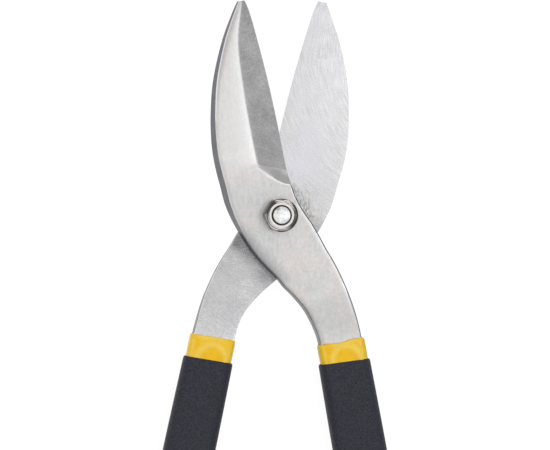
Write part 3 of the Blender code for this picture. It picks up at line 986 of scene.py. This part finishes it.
def node_heights(node):
    """Lowest and highest z of a CAD node, in millimetres."""
    low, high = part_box(node)
    return low[2] / MM, high[2] / MM


def build_bolt(mats):
    """Flat head with a turned face, square neck, shank with thread near the domed end."""
    sides = TURNED_SIDES
    low, high = node_heights("pivot_bolt")
    head, neck, shank = 3.5, 5.2, 3.95
    neck_from, neck_top = low + head, low + head + neck
    rings = rounds([(2.0, low), (7.4, low), (7.9, low + 0.03), (8.2, low + 0.12)])
    rings += rounds(arc_profile((8.3, low + 0.8), 0.7, -80.0, 0.0, 6))
    rings += rounds(arc_profile((8.6, low + head - 0.4), 0.4, 0.0, 90.0, 4))
    rings += [on_axis(square(4.0, 5.2, sides), z, -HALF_OPENING) for z in (neck_from, neck_top)]
    start = node_heights("lock_nut")[0] - 1.0
    end = high - 1.1
    rings += rounds([(shank, neck_top + 0.6), (shank, start - 0.3)])
    dark_from = len(rings)
    pitch, depth = 1.25, 0.42
    steps = round((end - start) / 0.125)
    for step in range(steps + 1):
        z = between(start, end, step / steps)
        fade = min(1.0, (z - start) / 0.8) * min(1.0, (end - z) / 0.3)
        outline = []
        for i, angle in enumerate(angles(sides)):
            phase = ((z - start) / pitch - i / sides) % 1.0
            outline.append(polar(3.98 - depth * fade * abs(2.0 * phase - 1.0) ** 1.2, angle))
        rings.append(on_axis(outline, z))
    rings += rounds([(shank, end + 0.1), (3.66, high - 0.60)])
    # The thread rows take the near-black painted shade
    dark_rows = range(dark_from, len(rings))
    rings += rounds([(3.58, high - 0.42)])
    shares = (0.97, 0.93, 0.87, 0.75, 0.55, 0.3, 0.1)
    rings += rounds([(3.58 * share, high - 0.36 * share ** 3.0) for share in shares])
    add_hardware("pivot_bolt", rings, [mats["nickel"], mats["dark"]], dark_rows,
                 closed_tube=False, sharp_deg=30.0)


def build_washer(mats):
    """Stamped washer with rounded rims, lying a little off centre."""
    low, high = node_heights("nut_washer")
    inner, outer, soft = 4.95, 6.95, 0.25
    profile = [(inner, low), (inner + 0.1, low), (outer - 0.1, low)]
    profile += arc_profile((outer - 0.1, low + 0.1), 0.1, -90.0, 0.0, 3)[1:]
    profile += arc_profile((outer - soft - 0.1, high - soft), soft + 0.1, 0.0, 90.0, 6)
    profile += arc_profile((inner + 0.15, high - 0.15), 0.15, 90.0, 180.0, 3)
    shift = Vector((WASHER_SHIFT * MM, 0.0, 0.0))
    rings = [[point + shift for point in ring] for ring in rounds(profile)]
    # The washer is all near-black metal: its dark oxide together with painted shade under the nut
    add_hardware("nut_washer", rings, [mats["dark"]])


def build_nut(mats):
    """Hexagon whose corners are cut by cones at both ends, under a rolled collar."""
    low, high = node_heights("lock_nut")
    sides, flats, corner_radius, hex_height, cone_radius = 144, 12.7, 6.95, 5.6, 6.2
    slope = math.tan(math.radians(30.0))
    collar, pocket, bore = 6.0, 5.35, 4.06
    hex_top, pocket_floor = low + hex_height, low + 4.95

    def hex_ring(radius_share, at_top):
        ring = []
        for angle in angles(sides):
            off_flat = (angle % math.radians(60.0)) - math.radians(30.0)
            radius = min(0.5 * flats / math.cos(off_flat), corner_radius)
            reach = between(cone_radius, radius, radius_share)
            cut = (reach - cone_radius) * slope
            z = hex_top - cut if at_top else low + cut
            ring.append(Vector((*polar(reach, angle), z)) * MM)
        return ring

    rings = rounds([(bore, low + 0.3), (bore + 0.3, low), (cone_radius - 0.3, low)], sides)
    rings += [hex_ring(share, False) for share in (0.0, 0.5, 0.93)]
    lower, upper = hex_ring(1.0, False), hex_ring(1.0, True)
    soft = Vector((0.0, 0.0, 0.12 * MM))
    side_from = len(rings)
    rings += [[p + soft for p in lower], [a.lerp(b, 0.5) for a, b in zip(lower, upper)],
              [p - soft for p in upper]]
    rings += [hex_ring(share, True) for share in (0.93, 0.5, 0.0)]
    collar_from = len(rings)
    rings += rounds([(collar + 0.12, hex_top + 0.02), (collar, hex_top + 0.15)], sides)
    rings += rounds([(collar - 0.05, high - 0.6)], sides)
    rings += rounds(arc_profile((5.62, high - 0.33), 0.33, 0.0, 200.0, 10), sides)
    rings += rounds([(pocket, high - 0.6), (pocket, pocket_floor), (bore, pocket_floor)], sides)
    # Painted shade on the nut's bottom, its sides and the foot of its collar
    dark_rows = (0, side_from, side_from + 1, collar_from, collar_from + 1)
    add_hardware("lock_nut", rings, [mats["nut"], mats["dark"]], dark_rows, sharp_deg=25.0)


def build_locking_ring(mats):
    """Nylon ring with a rounded crown and a steep inner lip."""
    low, high = node_heights("nut_locking_ring")
    profile = [(4.06, low), (5.3, low), (5.3, high - 0.2)]
    profile += arc_profile((5.1, high - 0.2), 0.2, 0.0, 90.0, 4)
    profile += [(4.75, high)]
    profile += arc_profile((4.4, high - 0.15), 0.15, 90.0, 170.0, 4)
    profile += [(4.15, high - 0.9), (4.06, high - 1.2)]
    add_hardware("nut_locking_ring", rounds(profile), [mats["nylon"]])


# Handle sleeves

RING_CORNER_STEPS = 8
RING_SIDE_STEPS = 18
RING_END_STEPS = 4


def section(half_width, half_thickness, corner):
    """Rounded rectangle: (x, z) points, with its sides divided as well as its corners."""
    radius = min(corner, half_thickness - 0.3, half_width - 0.3)
    points = []
    for quarter in range(4):
        side_x = 1.0 if quarter in (0, 3) else -1.0
        side_z = 1.0 if quarter in (0, 1) else -1.0
        arc = []
        for step in range(RING_CORNER_STEPS + 1):
            x, z = polar(radius, 0.5 * math.pi * (quarter + step / RING_CORNER_STEPS))
            arc.append((side_x * (half_width - radius) + x, side_z * (half_thickness - radius) + z))
        if points:
            start, end = points[-1], arc[0]
            steps = RING_SIDE_STEPS if quarter in (1, 3) else RING_END_STEPS
            points += [between(start, end, i / steps) for i in range(1, steps)]
        points += arc
    start, end = points[-1], points[0]
    return points + [between(start, end, i / RING_END_STEPS) for i in range(1, RING_END_STEPS)]


def handle_ring(row, corner, spread, turned_over, shape):
    """World ring around the handle's centre line; shape moves each (x, distance, z).

    Spread widens the ring on the handle's outer side.
    """
    distance, half_width, half_thickness = row
    middle = HANDLE_TOP[0] + (HANDLE_TOP[1] - distance) * HANDLE_LEAN
    ring = []
    for x, z in section(half_width, half_thickness, corner):
        x, y, z = shape(x, distance, z, turned_over)
        x += spread * ramp(x, -half_width, half_width)
        ring.append(to_world((middle + x, y - x * HANDLE_LEAN, z), turned_over))
    return ring


def refined(rows, pitch):
    """Rows of a sleeve with more rings put between them where they lie far apart."""
    out = []
    for index in range(len(rows) - 1):
        gap = abs(rows[index + 1][0] - rows[index][0])
        steps = max(1, round(gap / pitch))
        out += [point_on(rows, index + step / steps) for step in range(steps)]
    return out + [rows[-1]]


def build_cup(name, outside, pocket, turned_over, mat, shape):
    """Sleeve with a closed end, from the bottom of its pocket round the mouth to its tip.

    Outside and pocket are each the rows, the corner radius and the spread of their rings.
    """
    rings = [handle_ring(row, *pocket[1:], turned_over, shape) for row in reversed(pocket[0])]
    rings += [handle_ring(row, *outside[1:], turned_over, shape) for row in outside[0]]
    return mesh_from_rings(name, rings, materials=[mat])


def rim_wave(x, y, turned_over):
    """How far the yellow sleeve's cut rim strays from square, fading towards the black sleeve."""
    if turned_over:
        stray = 0.65 + 0.012 * x + 0.1 * math.cos(x * 0.22)
    else:
        stray = -1.1 + 0.75 * ramp(x, -3.0, 5.0) - 0.2 * math.cos(x * 0.5)
    return stray * fall(-y, 55.7, 62.0)


def arch_reach(x, y):
    """How far a point lies from the foot of the arch, as a share of the arch's own reach."""
    return math.hypot((x - 1.0) / 5.6, max(0.0, y + 66.0) / 7.2)


def puff(x, y, z):
    """Raised arch on each broad side of the yellow sleeve, open towards the black sleeve."""
    reach = arch_reach(x, y)
    arch = bell((reach - 1.0) / 0.17)
    crown = 0.22 * (1.0 - min(1.0, reach)) ** 2
    visible = fall(y, -57.2, -56.2)
    side = ramp(abs(z), 3.9, 4.8)
    return math.copysign((0.28 * arch + crown) * visible * side, z)


def mark_painted_sheen(mesh, turned_over):
    """Store the painted highlights on the vinyl, around the arch, in side bands, along the rim and the foot,
    and painted shade at the outer edges, for the material to read.
    """
    painted_sheen = mesh.attributes.new("painted_sheen", "FLOAT", "POINT")
    for vertex, item in zip(mesh.vertices, painted_sheen.data):
        local = (vertex.co - PIVOT) / MM
        x, y = turned(local.x, local.y, -swing_of(turned_over))
        if turned_over:
            x = -x
        x -= HANDLE_TOP[0] + (HANDLE_TOP[1] - y) * HANDLE_LEAN
        reach = arch_reach(-x if turned_over else x, y)
        below = -56.0 - (y - rim_wave(x, y, turned_over))
        arch = 0.85 * bell((reach - 1.12) / (0.25 if x > 0.0 else 0.20))
        side = 0.8 * bell((abs(x) - 8.0) / 0.6)
        rim = 0.8 * bell(below / 1.6) * ramp(abs(x - 1.0), 9.0, 4.0)
        foot = 0.7 * bell((below - 9.6) / 0.7)
        # Painted shade along the sleeve's outer edges
        item.value = max(arch, side, rim, foot) - 2.0 * ramp(abs(x), 9.2, 9.8)


def yellow_shape(x, y, z, turned_over):
    """Stray rim and raised arch of a yellow sleeve."""
    lift = puff(-x if turned_over else x, y, z)
    return x, y + rim_wave(x, y, turned_over), z + lift


def grip_shape(x, y, z, turned_over):
    """The rear grip is pushed on a little further."""
    rise = 0.27 + 0.012 * x if turned_over else 0.0
    return x, y + rise * ramp(y, -72.0, -66.0), z


def build_sleeves(side, turned_over, mats):
    """Yellow inner sleeve and black grip of one handle."""
    spread = REAR_SPREAD if turned_over else FRONT_SPREAD
    rows = refined(SLEEVE_RINGS[:6], 0.5) + list(SLEEVE_RINGS[6:])
    mesh = build_cup(side + "_yellow_sleeve", (rows, SLEEVE_CORNER, spread),
                     (TANG_POCKET_RINGS, POCKET_CORNER, min(spread, 0.0)),
                     turned_over, mats["yellow"], yellow_shape)
    mark_painted_sheen(mesh, turned_over)
    add_piece(side + "_yellow_sleeve", mesh, side + "_half", side + "_inner_sleeve", 60.0)

    mouth = GRIP_RINGS[0][0]
    pocket = [(mouth, SLEEVE_RINGS[5][1] + POCKET_GAP, SLEEVE_RINGS[5][2] + POCKET_GAP)]
    pocket += [(y - POCKET_GAP, wide + POCKET_GAP, thick + POCKET_GAP) for y, wide, thick in SLEEVE_RINGS[6:]]
    rows = list(GRIP_RINGS[:3]) + refined(GRIP_RINGS[3:], 1.5)
    mesh = build_cup(side + "_black_grip", (rows, GRIP_CORNER, spread),
                     (pocket, SLEEVE_CORNER + POCKET_GAP, spread), turned_over, mats["grip"], grip_shape)
    add_piece(side + "_black_grip", mesh, side + "_half", side + "_handle_grip", 60.0)


# Stage, lights and camera

FLOOR_GAP = 0.00005
FLOOR_HALF = 6.0


def build_floor():
    """Plain white floor that the snips lie on."""
    n = Nodes("white_floor")
    paper = n.scaled(n.noise(n.object_space(), 40.0, 3.0), 0.3, 0.7)
    n.set("Base Color", n.mix(paper, 0.16, 0.18))
    n.set("Roughness", 0.9)
    n.set("Emission Color", rgba(1.0))
    n.set("Emission Strength", 0.90)
    height = cad_bounds[0][2] - FLOOR_GAP
    corners = [(FLOOR_HALF * x, FLOOR_HALF * y, height) for x, y in ((-1, -1), (1, -1), (1, 1), (-1, 1))]
    mesh = bpy.data.meshes.new("floor")
    mesh.from_pydata(corners, [], [(0, 1, 2, 3)])
    mesh.materials.append(n.mat)
    linked("floor", mesh)


HORIZON_TONE = 0.05
SKY_TONES = ((0.25, 0.10), (0.45, 0.35), (0.62, 0.85), (0.78, 1.0))


def build_world():
    """Studio: white overhead, dark towards the horizon."""
    world = bpy.data.worlds.new("studio")
    bpy.context.scene.world = world
    world.use_nodes = True
    tree = world.node_tree
    back = tree.nodes["Background"]
    where = tree.nodes.new("ShaderNodeTexCoord")
    parts = tree.nodes.new("ShaderNodeSeparateXYZ")
    tree.links.new(where.outputs["Generated"], parts.inputs["Vector"])
    tones = tree.nodes.new("ShaderNodeValToRGB")
    tree.links.new(parts.outputs["Z"], tones.inputs["Fac"])
    stops = tones.color_ramp.elements
    stops[0].color = rgba(HORIZON_TONE)
    for height, tone in SKY_TONES:
        stops.new(height).color = rgba(tone)
    tree.links.new(tones.outputs["Color"], back.inputs["Color"])


def area_light(name, place, size, radiance):
    """Rectangular soft light aimed at the origin; radiance is its brightness as seen in a mirror."""
    data = bpy.data.lights.new(name, "AREA")
    data.shape = "RECTANGLE"
    data.size, data.size_y = size
    data.energy = radiance * math.pi * size[0] * size[1]
    lamp = linked(name, data)
    lamp.location = place
    lamp.rotation_euler = (Vector() - Vector(place)).to_track_quat("-Z", "Y").to_euler()


def build_lights():
    """Bright panels that draw the highlights on the ridge, the rim and the spine."""
    area_light("ridge_panel", (0.56, 0.0, 0.77), (0.16, 0.9), 1.2)
    area_light("rim_panel", (0.15, 0.85, 0.45), (1.0, 0.35), 0.9)
    area_light("left_panel", (-0.75, 0.0, 0.62), (0.10, 1.3), 1.6)


VIEW_TILT = math.radians(6.0)
VIEW_ROLL = math.radians(0.9)
VIEW_DISTANCE = 1.10
VIEW_AIM_MM = (-1.2, -4.1, 0.0)
SENSOR_MM = 36.0
LENS_MM = 171.36


def build_camera():
    """Camera almost straight above, a little to the left of the pivot."""
    data = bpy.data.cameras.new("camera")
    data.sensor_width = SENSOR_MM
    data.lens = LENS_MM
    data.clip_start = 0.01
    camera = linked("camera", data)
    aim = PIVOT + Vector(VIEW_AIM_MM) * MM
    back = Vector((-math.sin(VIEW_TILT), 0.0, math.cos(VIEW_TILT)))
    up = Vector((-math.sin(VIEW_ROLL), math.cos(VIEW_ROLL), 0.0))
    right = up.cross(back).normalized()
    up = back.cross(right).normalized()
    turn = Matrix((right, up, back)).transposed()
    camera.matrix_world = Matrix.Translation(aim + back * VIEW_DISTANCE) @ turn.to_4x4()
    bpy.context.scene.camera = camera


def main():
    mats = build_materials()
    build_half("front", False, circle(FRONT_BORE_RADIUS, BORE_SIDES), mats)
    build_half("rear", True, square(REAR_BORE_HALF, REAR_BORE_CORNER, BORE_SIDES), mats)
    for side, turned_over in (("front", False), ("rear", True)):
        build_sleeves(side, turned_over, mats)
    build_bolt(mats)
    build_washer(mats)
    build_nut(mats)
    build_locking_ring(mats)
    build_floor()
    build_world()
    build_lights()
    build_camera()
    bpy.context.scene.view_settings.view_transform = "Standard"


main()
